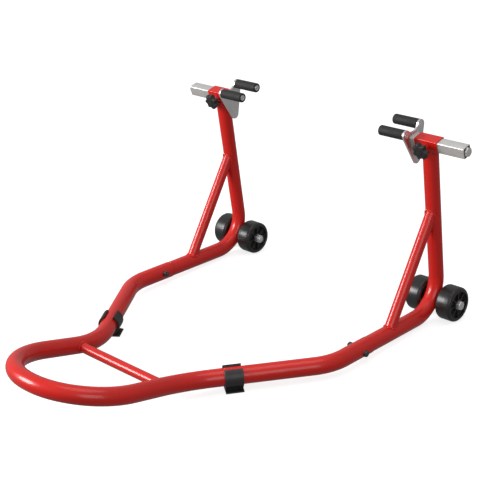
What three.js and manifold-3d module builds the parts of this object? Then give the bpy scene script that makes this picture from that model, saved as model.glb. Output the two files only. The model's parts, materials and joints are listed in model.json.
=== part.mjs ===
// A rear paddock stand for a motorcycle, in millimetres, +Z up, standing on its wheels and feet.
// X runs across the stand along the wheel axles, -Y is the handle end and +Y the wheel end.
// Everything on one side is built for +X and mirrored for -X.
import * as THREE from "three";
import { mergeVertices } from "three/addons/utils/BufferGeometryUtils.js";
import Module from "manifold-3d";

const wasm = await Module();
wasm.setup();

// ---- driving dimensions ----
const GAP = 0.3; // clearance between neighbouring pieces
const TUBE_SIDES = 16; // facets round a frame tube
const BEND_STEP = 10; // degrees between stations round a bend

const LOOP_RADIUS = 16; // 32 mm handle tube
const LOOP_BORE = 14.9;
const LEG_RADIUS = 15.3; // leg tube, its end swaged down to plug into the handle tube
const LEG_BORE = 13.7;
const PLUG_SWAGE = 0.928;
const CROSS_RADIUS = 9.2;
const CROSS_BORE = 7.7;
const BRACE_RADIUS = 10.6;
const BRACE_BORE = 9.1;

// corners of the bent centreline on the +X side, and the radius of each bend
const HANDLE_CORNER = new THREE.Vector3(123.2, -383.1, 83.7);
const INNER_CORNER = new THREE.Vector3(114.3, -150.9, 24);
const FLARE_CORNER = new THREE.Vector3(264, 58.9, 22);
const ELBOW_CORNER = new THREE.Vector3(259.8, 369.1, 14);
const LEG_TOP = new THREE.Vector3(262.7, 338.2, 320.4);
const HANDLE_BEND = 116;
const INNER_BEND = 144;
const FLARE_BEND = 97;
const ELBOW_BEND = 63.5;

// Bending flattens the leg tube: its width across the bend and in the bend's plane,
// as shares of the round tube, just above the elbow and at the head.
const LEG_ACROSS = 0.985;
const LEG_FLAT_LOW = 0.825;
const LEG_FLAT_TOP = 0.935;

const SOCKET_MOUTH_Y = 157; // where the handle tube ends over the leg tube
const PLUG_START_Y = 102; // where the leg tube ends inside it
const JOINT_BOLT_Y = 131.5;
const CROSS_TUBE_Y = -196.9;
const BRACE_FOOT_Y = 215.6; // centre of the brace on the lower run
const BRACE_HEAD_Z = 222.3; // centre of the brace on the leg

const HEAD = new THREE.Vector3(263.5, 332.5, 350); // centre of the square sleeve
const HEAD_TILT = 14.6; // degrees, front edge down
const SLEEVE_SIDE = 23.6;
const SLEEVE_LENGTH = 49;
const BAR_SIDE = 20.6;
const BAR_WALL = 1.5;
const BAR_OUTER_X = 343.5;
const PLATE_INNER_X = 229.2;
const PLATE_THICKNESS = 4;
const PEG_SPREAD = 21.4; // each peg from the plate's middle
const PEG_RISE = 20.5; // pegs above the bar's axis
const PLATE_DROP = 36.2; // lower corner below the bar's axis
const PLATE_SET = -4.5; // lower corner forward of the bar's axis
const PLATE_CORNER = 9.6;
const PLATE_VALLEY = 18.6; // height of the dip between the pegs
const PEG_LENGTH = 55;
const PEG_RUBBER_RADIUS = 9.4;
const PEG_CORE_RADIUS = 5;

const KNOB_RADIUS = 16.4;
const KNOB_DEPTH = 14;
const KNOB_START = 20; // back of the knob from the bar's axis
const KNOB_LOBES = 7;
const KNOB_LOBE_SWING = 2.3; // how far each lobe rises above and falls below the middle radius
const SCREW_RADIUS = 4;
const SCREW_DROP = 1.2; // clamp screw below the bar's axis

const WHEEL_RADIUS = 33.4;
const WHEEL_WIDTH = 33.4;
const WHEEL_INSET = 17.9; // wheel's near face from the leg's centre
const WHEEL_SHOULDER = 6;
const WHEEL_RIBS = 8;
const AXLE_Y = 365.9;
const AXLE_RADIUS = 5;
const BUSH_RADIUS = 10;
const WASHER_THICKNESS = 1.1;

const CLIP_LENGTH = 32;
const CLIP_STATION = 0.325; // along the flare from its inner corner
const CLIP_WALL = 4.4;
const CLIP_OPENING = 58; // degrees above level where each wall ends
const CLIP_FOOT_HALF = 19;

// ---- materials ----
const material = (color, roughness, metalness) =>
  new THREE.MeshStandardMaterial({ color, roughness, metalness });
const redPaint = material(0xb3140f, 0.28, 0.1);
const zinc = material(0xb9b7b2, 0.35, 0.9);
const blackPlastic = material(0x1c1c1c, 0.45, 0);
const blackRubber = material(0x2b2b2b, 0.8, 0);
const blackSteel = material(0x2a2a2a, 0.5, 0.6);

// ---- solids: joining and cutting ----
function toSolid(geometry) {
  const bare = geometry.clone();
  bare.deleteAttribute("normal");
  bare.deleteAttribute("uv");
  const merged = mergeVertices(bare, 1e-4);
  return new wasm.Manifold(
    new wasm.Mesh({
      numProp: 3,
      vertProperties: new Float32Array(merged.attributes.position.array),
      triVerts: new Uint32Array(merged.index.array),
    }),
  );
}

function toGeometry(solid) {
  const mesh = solid.getMesh();
  const geometry = new THREE.BufferGeometry();
  const positions = new THREE.BufferAttribute(mesh.vertProperties, 3);
  geometry.setAttribute("position", positions);
  geometry.setIndex(new THREE.BufferAttribute(mesh.triVerts, 1));
  geometry.computeVertexNormals();
  return geometry;
}

function cut(geometry, ...tools) {
  let solid = toSolid(geometry);
  for (const tool of tools) solid = solid.subtract(toSolid(tool));
  return toGeometry(solid);
}

function join(geometry, ...others) {
  let solid = toSolid(geometry);
  for (const other of others) solid = solid.add(toSolid(other));
  return toGeometry(solid);
}

// ---- shapes ----
const degrees = THREE.MathUtils.degToRad;

// The centreline of a bent tube: straight runs between corners, each corner rounded to its radius.
// A corner that doesn't turn only adds a station.
class BentPath extends THREE.Curve {
  constructor(corners, bends) {
    super();
    this.points = [corners[0].clone()];
    this.tangents = [corners[1].clone().sub(corners[0]).normalize()];
    for (let i = 1; i < corners.length - 1; i++) {
      this.addBend(corners[i - 1], corners[i], corners[i + 1], bends[i - 1]);
    }
    const last = corners.length - 1;
    this.points.push(corners[last].clone());
    this.tangents.push(corners[last].clone().sub(corners[last - 1]).normalize());
  }
  addBend(before, corner, after, radius) {
    const entry = corner.clone().sub(before).normalize();
    const exit = after.clone().sub(corner).normalize();
    const turn = entry.angleTo(exit);
    if (turn < 1e-4) {
      this.points.push(corner.clone());
      this.tangents.push(entry);
      return;
    }
    const axis = entry.clone().cross(exit).normalize();
    const start = corner.clone().addScaledVector(entry, -radius * Math.tan(turn / 2));
    const inward = axis.clone().cross(entry);
    const centre = start.clone().addScaledVector(inward, radius);
    const steps = Math.ceil(turn / degrees(BEND_STEP));
    for (let s = 0; s <= steps; s++) {
      const angle = (turn * s) / steps;
      const spoke = inward.clone().negate().applyAxisAngle(axis, angle);
      this.points.push(centre.clone().addScaledVector(spoke, radius));
      this.tangents.push(entry.clone().applyAxisAngle(axis, angle));
    }
  }
  get steps() {
    return this.points.length - 1;
  }
  getSpacedPoints() {
    return this.points.map((point) => point.clone());
  }
  getPointAt(u, target = new THREE.Vector3()) {
    return target.copy(this.points[Math.round(u * this.steps)]);
  }
  getTangentAt(u, target = new THREE.Vector3()) {
    return target.copy(this.tangents[Math.round(u * this.steps)]);
  }
}

function roundPoints(radius, sides, x = 0, y = 0) {
  const points = [];
  for (let i = 0; i < sides; i++) {
    const angle = (2 * Math.PI * (i + 0.5)) / sides;
    points.push(new THREE.Vector2(x + radius * Math.cos(angle), y + radius * Math.sin(angle)));
  }
  return points;
}

function ringShape(radius, bore, sides) {
  const shape = new THREE.Shape(roundPoints(radius, sides));
  if (bore) shape.holes.push(new THREE.Path(roundPoints(bore, sides)));
  return shape;
}

function bentTube(corners, bends, radius, bore) {
  const path = new BentPath(corners, bends);
  return new THREE.ExtrudeGeometry(ringShape(radius, bore, TUBE_SIDES), {
    steps: path.steps,
    extrudePath: path,
    bevelEnabled: false,
  });
}

// Resizes a tube's round section station by station: along X, and in the plane of its bend.
function resizeSections(geometry, path, sectionAt) {
  const position = geometry.getAttribute("position");
  const vertex = new THREE.Vector3();
  for (let i = 0; i < position.count; i++) {
    vertex.fromBufferAttribute(position, i);
    let station = 0;
    let nearest = Infinity;
    path.points.forEach((point, index) => {
      const offset = vertex.clone().sub(point);
      const off = Math.abs(offset.dot(path.tangents[index])) + 0.001 * offset.length();
      if (off < nearest) {
        nearest = off;
        station = index;
      }
    });
    const point = path.points[station];
    const [across, inPlane] = sectionAt(station);
    position.setXYZ(
      i,
      point.x + (vertex.x - point.x) * across,
      point.y + (vertex.y - point.y) * inPlane,
      point.z + (vertex.z - point.z) * inPlane,
    );
  }
  return geometry;
}

function straightTube(from, to, radius, bore, sides = TUBE_SIDES) {
  return new THREE.ExtrudeGeometry(ringShape(radius, bore, sides), {
    steps: 1,
    extrudePath: new THREE.LineCurve3(from, to),
    bevelEnabled: false,
  });
}

// A prism along +X from x = 0, its outline given as (y, z).
function prismAlongX(shape, length) {
  const geometry = new THREE.ExtrudeGeometry(shape, {
    depth: length,
    bevelEnabled: false,
    curveSegments: 4,
  });
  geometry.rotateZ(Math.PI / 2);
  geometry.rotateY(Math.PI / 2);
  return geometry;
}

function roundedSquare(side, radius) {
  const half = side / 2;
  const inner = half - radius;
  const shape = new THREE.Shape();
  shape.absarc(inner, inner, radius, 0, Math.PI / 2);
  shape.absarc(-inner, inner, radius, Math.PI / 2, Math.PI);
  shape.absarc(-inner, -inner, radius, Math.PI, 1.5 * Math.PI);
  shape.absarc(inner, -inner, radius, 1.5 * Math.PI, 2 * Math.PI);
  shape.closePath();
  return shape;
}

function hexShape(acrossFlats, bore) {
  const corner = acrossFlats / Math.sqrt(3);
  const shape = new THREE.Shape();
  for (let i = 0; i < 6; i++) {
    const angle = (i * Math.PI) / 3;
    const x = corner * Math.cos(angle);
    const y = corner * Math.sin(angle);
    if (i === 0) shape.moveTo(x, y);
    else shape.lineTo(x, y);
  }
  shape.closePath();
  if (bore) shape.holes.push(new THREE.Path(roundPoints(bore, 12)));
  return shape;
}

// A pin along +X from x = 0: a round shank with a hex head on its far end.
function headedPin(radius, length, acrossFlats, headHeight) {
  const shank = prismAlongX(ringShape(radius, 0, 12), length + 1);
  const head = prismAlongX(hexShape(acrossFlats), headHeight);
  head.translate(length, 0, 0);
  return join(shank, head);
}

const hexNut = (acrossFlats, bore, height) => prismAlongX(hexShape(acrossFlats, bore), height);

function turned(profile, segments) {
  const geometry = new THREE.LatheGeometry(
    profile.map(([radius, along]) => new THREE.Vector2(radius, along)),
    segments,
  );
  geometry.rotateZ(-Math.PI / 2);
  return geometry;
}

// ---- places along the frame ----
const alongLine = (from, to, fraction) => from.clone().lerp(to, fraction);
const mirrored = (point) => new THREE.Vector3(-point.x, point.y, point.z);

function onLowerRun(y) {
  const span = ELBOW_CORNER.y - FLARE_CORNER.y;
  return alongLine(FLARE_CORNER, ELBOW_CORNER, (y - FLARE_CORNER.y) / span);
}

function onLeg(z) {
  const span = LEG_TOP.z - ELBOW_CORNER.z;
  return alongLine(ELBOW_CORNER, LEG_TOP, (z - ELBOW_CORNER.z) / span);
}

// ---- handle frame ----
const loopCorners = [
  onLowerRun(SOCKET_MOUTH_Y),
  FLARE_CORNER,
  INNER_CORNER,
  HANDLE_CORNER,
  mirrored(HANDLE_CORNER),
  mirrored(INNER_CORNER),
  mirrored(FLARE_CORNER),
  mirrored(onLowerRun(SOCKET_MOUTH_Y)),
];
const loopBends = [FLARE_BEND, INNER_BEND, HANDLE_BEND, HANDLE_BEND, INNER_BEND, FLARE_BEND];

const jointCentre = onLowerRun(JOINT_BOLT_Y);
const JOINT_BOLT_RADIUS = 3;
const JOINT_HOLE_SIDES = 10;
const JOINT_LEAN = degrees(9);

// The bolt leans: its head on the outer side sits lower than its nut on the inner side.
function jointHole(sign) {
  const middle = sign > 0 ? jointCentre : mirrored(jointCentre);
  const reach = new THREE.Vector3(Math.cos(JOINT_LEAN), 0, -sign * Math.sin(JOINT_LEAN));
  reach.multiplyScalar(2 * LOOP_RADIUS);
  const from = middle.clone().sub(reach);
  const to = middle.clone().add(reach);
  return straightTube(from, to, JOINT_BOLT_RADIUS + GAP, 0, JOINT_HOLE_SIDES);
}

const mainLoop = cut(
  bentTube(loopCorners, loopBends, LOOP_RADIUS, LOOP_BORE),
  jointHole(1),
  jointHole(-1),
);

const crossFraction = (CROSS_TUBE_Y - HANDLE_CORNER.y) / (INNER_CORNER.y - HANDLE_CORNER.y);
const crossEnd = alongLine(HANDLE_CORNER, INNER_CORNER, crossFraction);

// A solid rod along the line through two points, used to cope the end of a tube against it.
function copeTool(from, to, radius) {
  const reach = to.clone().sub(from).normalize().multiplyScalar(60);
  return straightTube(from.clone().sub(reach), to.clone().add(reach), radius, 0, 24);
}

const crossTube = cut(
  straightTube(crossEnd, mirrored(crossEnd), CROSS_RADIUS, CROSS_BORE),
  copeTool(HANDLE_CORNER, INNER_CORNER, LOOP_RADIUS + GAP),
  copeTool(mirrored(HANDLE_CORNER), mirrored(INNER_CORNER), LOOP_RADIUS + GAP),
);

// ---- leg and brace ----
// Everything that sits on the sleeve is laid out along the bar's axis, then tilted and moved to the head.
function placeAtHead(geometry) {
  geometry.rotateX(degrees(HEAD_TILT));
  geometry.translate(HEAD.x, HEAD.y, HEAD.z);
  return geometry;
}

const aboveSleeveFloor = placeAtHead(
  new THREE.BoxGeometry(90, 90, 60).translate(0, 0, 30 - SLEEVE_SIDE / 2 - GAP),
);

// The axle bush is let into the outside of the elbow.
const axleCentre = new THREE.Vector3(ELBOW_CORNER.x, AXLE_Y, WHEEL_RADIUS);
const bushHalf = WHEEL_INSET - 2 * GAP - WASHER_THICKNESS;
const placeOnAxle = (geometry, offset) =>
  geometry.translate(axleCentre.x + offset, axleCentre.y, axleCentre.z);
const bushNotch = placeOnAxle(
  prismAlongX(ringShape(BUSH_RADIUS + GAP, 0, 20), 4 * bushHalf),
  -2 * bushHalf,
);

const SWAGE_STEP = 1.5;
const legCorners = [
  onLowerRun(PLUG_START_Y),
  onLowerRun(SOCKET_MOUTH_Y + GAP),
  onLowerRun(SOCKET_MOUTH_Y + GAP + SWAGE_STEP),
  ELBOW_CORNER,
  onLeg(HEAD.z),
];
const legBends = [0, 0, ELBOW_BEND];
const legPath = new BentPath(legCorners, legBends);
const FIRST_BEND_STATION = 3;

// Swaged in the socket, round on the lower run, flattened through the elbow, rounder again at the head.
function legSection(station) {
  const last = legPath.points.length - 1;
  if (station < FIRST_BEND_STATION - 1) return [PLUG_SWAGE, PLUG_SWAGE];
  if (station === last) return [LEG_ACROSS, LEG_FLAT_TOP];
  const bend = Math.max(0, station - FIRST_BEND_STATION) / (last - 1 - FIRST_BEND_STATION);
  const mix = THREE.MathUtils.lerp;
  return [mix(1, LEG_ACROSS, bend), mix(1, LEG_FLAT_LOW, bend)];
}

function legSolid(radius, bore) {
  return resizeSections(bentTube(legCorners, legBends, radius, bore), legPath, legSection);
}

const legTube = cut(
  legSolid(LEG_RADIUS, LEG_BORE),
  jointHole(1),
  bushNotch,
  aboveSleeveFloor,
);

const braceTube = cut(
  straightTube(onLowerRun(BRACE_FOOT_Y), onLeg(BRACE_HEAD_Z), BRACE_RADIUS, BRACE_BORE),
  legSolid(LEG_RADIUS + 1.5 * GAP, 0),
);

// ---- joint bolt, through handle tube and leg tube ----
const JOINT_HEAD_FLATS = 11;
const JOINT_HEAD_HEIGHT = 4;
const JOINT_NUT_HEIGHT = 6.5;
const jointReach = LOOP_RADIUS + GAP;

const jointBolt = headedPin(
  JOINT_BOLT_RADIUS,
  2 * jointReach + JOINT_NUT_HEIGHT + 2,
  JOINT_HEAD_FLATS,
  JOINT_HEAD_HEIGHT,
);
jointBolt.translate(-jointReach - JOINT_NUT_HEIGHT - 2, 0, 0);
jointBolt.rotateY(JOINT_LEAN);
jointBolt.translate(jointCentre.x, jointCentre.y, jointCentre.z);

const jointNut = hexNut(JOINT_HEAD_FLATS, JOINT_BOLT_RADIUS + GAP, JOINT_NUT_HEIGHT);
jointNut.translate(-jointReach - JOINT_NUT_HEIGHT, 0, 0);
jointNut.rotateY(JOINT_LEAN);
jointNut.translate(jointCentre.x, jointCentre.y, jointCentre.z);

// ---- square sleeve and its clamp ----
const SLEEVE_CORNER = 1.5;
const sleeveShape = roundedSquare(SLEEVE_SIDE, SLEEVE_CORNER);
sleeveShape.holes.push(roundedSquare(BAR_SIDE + 2 * GAP, SLEEVE_CORNER));

// A round solid along the clamp screw's axis, from the bar outwards to the front.
function alongScrew(radius, from, to, sides) {
  const start = new THREE.Vector3(0, -from, -SCREW_DROP);
  const end = new THREE.Vector3(0, -to, -SCREW_DROP);
  return straightTube(start, end, radius, 0, sides);
}

const sleeveMiddle = SLEEVE_LENGTH / 2;
const barSleeve = placeAtHead(
  cut(
    prismAlongX(sleeveShape, SLEEVE_LENGTH).translate(-sleeveMiddle, 0, 0),
    alongScrew(SCREW_RADIUS + GAP, SLEEVE_SIDE / 4, SLEEVE_SIDE, 12),
  ),
);

const CLAMP_NUT_FLATS = 13;
const clampNutStart = SLEEVE_SIDE / 2 + GAP;
const clampNutHeight = KNOB_START - GAP - clampNutStart;
const clampNut = hexNut(CLAMP_NUT_FLATS, SCREW_RADIUS + GAP, clampNutHeight);
clampNut.rotateZ(-Math.PI / 2);
clampNut.translate(0, -clampNutStart, -SCREW_DROP);
placeAtHead(clampNut);

const SCREW_TIP = BAR_SIDE / 2 + GAP;
const SCREW_END = KNOB_START + 9;
const clampScrew = placeAtHead(alongScrew(SCREW_RADIUS, SCREW_TIP, SCREW_END, 12));

// The star knob's outline: lobes on a round body.
function starShape() {
  const shape = new THREE.Shape();
  const perLobe = 6;
  const count = KNOB_LOBES * perLobe;
  for (let i = 0; i < count; i++) {
    const angle = (2 * Math.PI * i) / count;
    const radius = KNOB_RADIUS - KNOB_LOBE_SWING * (1 - Math.cos(KNOB_LOBES * angle));
    const x = radius * Math.cos(angle);
    const y = radius * Math.sin(angle);
    if (i === 0) shape.moveTo(x, y);
    else shape.lineTo(x, y);
  }
  shape.closePath();
  return shape;
}

const KNOB_EDGE = 2;
const knobBody = new THREE.ExtrudeGeometry(starShape(), {
  depth: KNOB_DEPTH - 2 * KNOB_EDGE,
  bevelThickness: KNOB_EDGE,
  bevelSize: KNOB_EDGE,
  bevelOffset: -KNOB_EDGE,
  bevelSegments: 1,
});
knobBody.translate(0, 0, KNOB_START + KNOB_EDGE);
knobBody.rotateX(Math.PI / 2);
knobBody.translate(0, 0, -SCREW_DROP);
const screwPocket = alongScrew(SCREW_RADIUS + GAP, KNOB_START - 1, SCREW_END + GAP, 12);
const clampKnob = placeAtHead(cut(knobBody, screwPocket));

// ---- square bar, its plug and its long bolt ----
const barInnerX = PLATE_INNER_X + PLATE_THICKNESS + GAP;
const barShape = roundedSquare(BAR_SIDE, 2);
barShape.holes.push(roundedSquare(BAR_SIDE - 2 * BAR_WALL, 1));

// Moves a piece laid out from x = 0 so that it starts at the given distance from the stand's middle.
function placeOnBar(geometry, startX) {
  return placeAtHead(geometry.translate(startX - HEAD.x, 0, 0));
}

const squareBar = placeOnBar(prismAlongX(barShape, BAR_OUTER_X - barInnerX), barInnerX);

const BAR_BOLT_RADIUS = 5;
const BAR_BOLT_FLATS = 16;
const BAR_BOLT_HEAD = 3.8;
const BAR_NUT_FLATS = 14.5;
const BAR_NUT_HEIGHT = 6;
const PLUG_PROUD = 0.5;
const PLUG_DEPTH = 9;
const barBoltHole = () => prismAlongX(ringShape(BAR_BOLT_RADIUS + GAP, 0, 12), 3 * PLUG_DEPTH);
const barPlug = placeOnBar(
  cut(
    prismAlongX(roundedSquare(BAR_SIDE - 2 * BAR_WALL - 2 * GAP, 1), PLUG_DEPTH + PLUG_PROUD),
    barBoltHole().translate(-PLUG_DEPTH, 0, 0),
  ),
  BAR_OUTER_X - PLUG_DEPTH,
);
const barBoltSeat = BAR_OUTER_X + PLUG_PROUD + GAP;
const barNutStart = BAR_OUTER_X - PLUG_DEPTH - GAP - BAR_NUT_HEIGHT;
const barNut = placeOnBar(
  hexNut(BAR_NUT_FLATS, BAR_BOLT_RADIUS + GAP, BAR_NUT_HEIGHT),
  barNutStart,
);
const barBoltStart = barNutStart - 1.5;
const barBolt = placeOnBar(
  headedPin(BAR_BOLT_RADIUS, barBoltSeat - barBoltStart, BAR_BOLT_FLATS, BAR_BOLT_HEAD),
  barBoltStart,
);

// ---- cradle plate and its two pegs ----
// The outline is a rounded triangle, point down, with a hollow between its two upper corners.
function plateShape() {
  const side = new THREE.Vector2(PEG_SPREAD, PEG_RISE);
  // the hollow's arc touches both upper corners and passes through the valley height
  const fall = PEG_RISE - PLATE_VALLEY;
  const hollow =
    (PEG_SPREAD ** 2 + fall ** 2 - PLATE_CORNER ** 2) / (2 * (PLATE_CORNER + fall));
  const hollowCentre = new THREE.Vector2(0, PLATE_VALLEY + hollow);
  const lean = Math.atan2(hollowCentre.y - side.y, PEG_SPREAD);
  const tangent = (from, to) => {
    const along = to.clone().sub(from);
    return Math.atan2(along.x, -along.y);
  };
  const low = new THREE.Vector2(PLATE_SET, -PLATE_DROP);
  const back = new THREE.Vector2(PEG_SPREAD, PEG_RISE);
  const front = new THREE.Vector2(-PEG_SPREAD, PEG_RISE);
  const backFace = tangent(low, back) + Math.PI;
  const frontFace = tangent(front, low) + Math.PI;
  const shape = new THREE.Shape();
  shape.absarc(low.x, low.y, PLATE_CORNER, frontFace, backFace + 2 * Math.PI);
  shape.absarc(back.x, back.y, PLATE_CORNER, backFace, Math.PI - lean);
  shape.absarc(0, hollowCentre.y, hollow, -lean, Math.PI + lean, true);
  shape.absarc(front.x, front.y, PLATE_CORNER, lean, frontFace);
  shape.closePath();
  return shape;
}

const plateOutline = plateShape();
const pegSeats = { front: -PEG_SPREAD, back: PEG_SPREAD };
const roundHole = (y, z, radius) => new THREE.Path(roundPoints(radius, 16, y, z));
plateOutline.holes.push(
  roundHole(pegSeats.front, PEG_RISE, PEG_CORE_RADIUS + GAP),
  roundHole(pegSeats.back, PEG_RISE, PEG_CORE_RADIUS + GAP),
);
const cradlePlate = placeOnBar(prismAlongX(plateOutline, PLATE_THICKNESS), PLATE_INNER_X);

const pegTipX = PLATE_INNER_X - PEG_LENGTH;
const rubberLength = PLATE_INNER_X - GAP - pegTipX;
const PEG_ROUND = 2;

function pegPiece(geometry, startX, y) {
  return placeOnBar(geometry.translate(0, y, PEG_RISE), startX);
}

function pegRubber() {
  const outer = PEG_RUBBER_RADIUS;
  const bore = PEG_CORE_RADIUS + GAP;
  const profile = [
    [bore, 0],
    [outer - PEG_ROUND, 0],
    [outer, PEG_ROUND],
    [outer, rubberLength - PEG_ROUND],
    [outer - PEG_ROUND, rubberLength],
    [bore, rubberLength],
    [bore, 0],
  ];
  return turned(profile, 14);
}

function pegCore() {
  const length = PLATE_INNER_X + PLATE_THICKNESS - pegTipX;
  const rod = prismAlongX(ringShape(PEG_CORE_RADIUS, 0, 16), length);
  const socket = prismAlongX(hexShape(5), 4);
  socket.translate(-1, 0, 0);
  return cut(rod, socket);
}

// ---- wheels on their axle ----
function wheelGeometry() {
  const rim = WHEEL_RADIUS;
  const inner = rim - WHEEL_SHOULDER;
  const dish = 9;
  const hub = 10.5;
  const bore = AXLE_RADIUS + GAP;
  const half = [[bore, 1], [hub, 1], [hub, dish], [inner - 2, dish], [inner - 2, 0]];
  for (const angle of [45, 90]) {
    const radius = inner + WHEEL_SHOULDER * Math.sin(degrees(angle));
    const along = WHEEL_SHOULDER * (1 - Math.cos(degrees(angle)));
    half.push([radius, along]);
  }
  const other = half.map(([radius, along]) => [radius, WHEEL_WIDTH - along]).reverse();
  const body = turned([...half, ...other, half[0]], 24);
  const ribs = [];
  const ribLength = inner - hub - 2.6;
  for (let i = 0; i < WHEEL_RIBS; i++) {
    const rib = new THREE.BoxGeometry(WHEEL_WIDTH - 8, 2, ribLength);
    rib.translate(WHEEL_WIDTH / 2, 0, hub + ribLength / 2 - 0.2);
    rib.rotateX((2 * Math.PI * i) / WHEEL_RIBS);
    ribs.push(rib);
  }
  return join(body, ...ribs);
}

const wheelOuter = placeOnAxle(wheelGeometry(), WHEEL_INSET);
const wheelInner = placeOnAxle(wheelGeometry(), -WHEEL_INSET - WHEEL_WIDTH);

const axleBush = placeOnAxle(
  prismAlongX(ringShape(BUSH_RADIUS, AXLE_RADIUS + GAP, 20), 2 * bushHalf),
  -bushHalf,
);
const washer = () => prismAlongX(ringShape(9, AXLE_RADIUS + GAP, 16), WASHER_THICKNESS);
const washerOuter = placeOnAxle(washer(), bushHalf + GAP);
const washerInner = placeOnAxle(washer(), -bushHalf - GAP - WASHER_THICKNESS);

const AXLE_FLATS = 16;
const AXLE_HEAD = 6.4;
const AXLE_NUT = 8;
const hubFace = WHEEL_INSET + WHEEL_WIDTH - 1 + GAP;
const axleTail = hubFace + AXLE_NUT + 1.5;
const axleBolt = placeOnAxle(
  headedPin(AXLE_RADIUS, hubFace + axleTail, AXLE_FLATS, AXLE_HEAD),
  -axleTail,
);
const axleNut = placeOnAxle(hexNut(AXLE_FLATS, AXLE_RADIUS + GAP, AXLE_NUT), -hubFace - AXLE_NUT);

// ---- clip foot under the flare ----
// The section looks along the tube: a ring open at the top, with a wide flat foot under it.
const clipCentre = alongLine(INNER_CORNER, FLARE_CORNER, CLIP_STATION);

function clipShape() {
  const bore = LOOP_RADIUS + GAP;
  const outer = bore + CLIP_WALL;
  const arc = (radius, from, to, count) => {
    const points = [];
    for (let i = 0; i <= count; i++) {
      const angle = degrees(from + ((to - from) * i) / count);
      points.push(new THREE.Vector2(radius * Math.cos(angle), radius * Math.sin(angle)));
    }
    return points;
  };
  const neck = 9.5;
  const neckDrop = 19.8;
  const footEdge = clipCentre.z - 1.9;
  const footDrop = clipCentre.z + 2;
  const corner = (x, y) => new THREE.Vector2(x, y);
  const outline = [
    ...arc(bore, CLIP_OPENING, -180 - CLIP_OPENING, 18),
    ...arc(outer, -180 - CLIP_OPENING, -119, 8),
    corner(-neck, -neckDrop),
    corner(-CLIP_FOOT_HALF, -footEdge),
    corner(-CLIP_FOOT_HALF, -footDrop),
    corner(CLIP_FOOT_HALF, -footDrop),
    corner(CLIP_FOOT_HALF, -footEdge),
    corner(neck, -neckDrop),
    ...arc(outer, -61, CLIP_OPENING, 8),
  ];
  return new THREE.Shape(outline);
}

const flareDirection = FLARE_CORNER.clone().sub(INNER_CORNER).normalize();
const clipBody = new THREE.ExtrudeGeometry(clipShape(), {
  depth: CLIP_LENGTH,
  bevelEnabled: false,
});
clipBody.translate(0, 0, -CLIP_LENGTH / 2);
const upright = new THREE.Vector3(0, 0, 1);
const outward = new THREE.Vector3().crossVectors(flareDirection, upright).normalize();
const clipUp = new THREE.Vector3().crossVectors(outward, flareDirection);
clipBody.applyMatrix4(
  new THREE.Matrix4()
    .makeBasis(outward, clipUp, flareDirection.clone().negate())
    .setPosition(clipCentre),
);
const underGround = new THREE.BoxGeometry(200, 200, 40);
underGround.translate(clipCentre.x, clipCentre.y, -20);
const footClip = cut(clipBody, underGround);

// ---- assembly ----
function addMesh(group, name, geometry, look) {
  const mesh = new THREE.Mesh(geometry, look);
  mesh.name = name;
  group.add(mesh);
}

function sideGroup(side) {
  const group = new THREE.Group();
  const add = (name, geometry, look) => addMesh(group, `${name}_${side}`, geometry, look);
  add("leg_tube", legTube, redPaint);
  add("brace_tube", braceTube, redPaint);
  add("bar_sleeve", barSleeve, redPaint);
  add("clamp_nut", clampNut, redPaint);
  add("clamp_screw", clampScrew, zinc);
  add("clamp_knob", clampKnob, blackPlastic);
  add("square_bar", squareBar, zinc);
  add("bar_end_plug", barPlug, blackPlastic);
  add("bar_bolt", barBolt, zinc);
  add("bar_nut", barNut, zinc);
  add("cradle_plate", cradlePlate, zinc);
  for (const [seat, y] of Object.entries(pegSeats)) {
    add(`peg_core_${seat}`, pegPiece(pegCore(), pegTipX, y), zinc);
    add(`peg_rubber_${seat}`, pegPiece(pegRubber(), pegTipX, y), blackRubber);
  }
  add("joint_bolt", jointBolt, blackSteel);
  add("joint_nut", jointNut, blackSteel);
  add("axle_bush", axleBush, redPaint);
  add("axle_bolt", axleBolt, zinc);
  add("axle_nut", axleNut, zinc);
  add("washer_outer", washerOuter, zinc);
  add("washer_inner", washerInner, zinc);
  add("wheel_outer", wheelOuter, blackPlastic);
  add("wheel_inner", wheelInner, blackPlastic);
  add("foot_clip", footClip, blackPlastic);
  return group;
}

const stand = new THREE.Group();
addMesh(stand, "main_loop_tube", mainLoop, redPaint);
addMesh(stand, "cross_tube", crossTube, redPaint);
const right = sideGroup("right");
const left = sideGroup("left");
left.scale.x = -1;
stand.add(right, left);

export default stand;
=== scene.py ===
import json
import math

import bpy
from mathutils import Matrix, Vector


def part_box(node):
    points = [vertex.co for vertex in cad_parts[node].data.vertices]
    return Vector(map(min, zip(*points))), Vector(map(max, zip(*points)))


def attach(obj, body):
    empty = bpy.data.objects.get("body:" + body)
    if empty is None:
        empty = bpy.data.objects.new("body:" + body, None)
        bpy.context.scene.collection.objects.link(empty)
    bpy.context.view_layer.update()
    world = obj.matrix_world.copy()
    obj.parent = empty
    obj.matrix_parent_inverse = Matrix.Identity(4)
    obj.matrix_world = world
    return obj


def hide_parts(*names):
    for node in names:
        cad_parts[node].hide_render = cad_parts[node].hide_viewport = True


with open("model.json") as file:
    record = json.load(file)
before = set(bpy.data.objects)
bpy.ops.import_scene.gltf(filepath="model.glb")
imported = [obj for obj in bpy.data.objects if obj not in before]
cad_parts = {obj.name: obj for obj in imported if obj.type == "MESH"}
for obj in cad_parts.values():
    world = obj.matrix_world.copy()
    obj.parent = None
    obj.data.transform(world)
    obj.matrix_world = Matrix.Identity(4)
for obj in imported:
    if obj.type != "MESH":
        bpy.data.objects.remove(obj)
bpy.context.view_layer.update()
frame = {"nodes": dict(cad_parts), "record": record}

MM = 0.001

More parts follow.
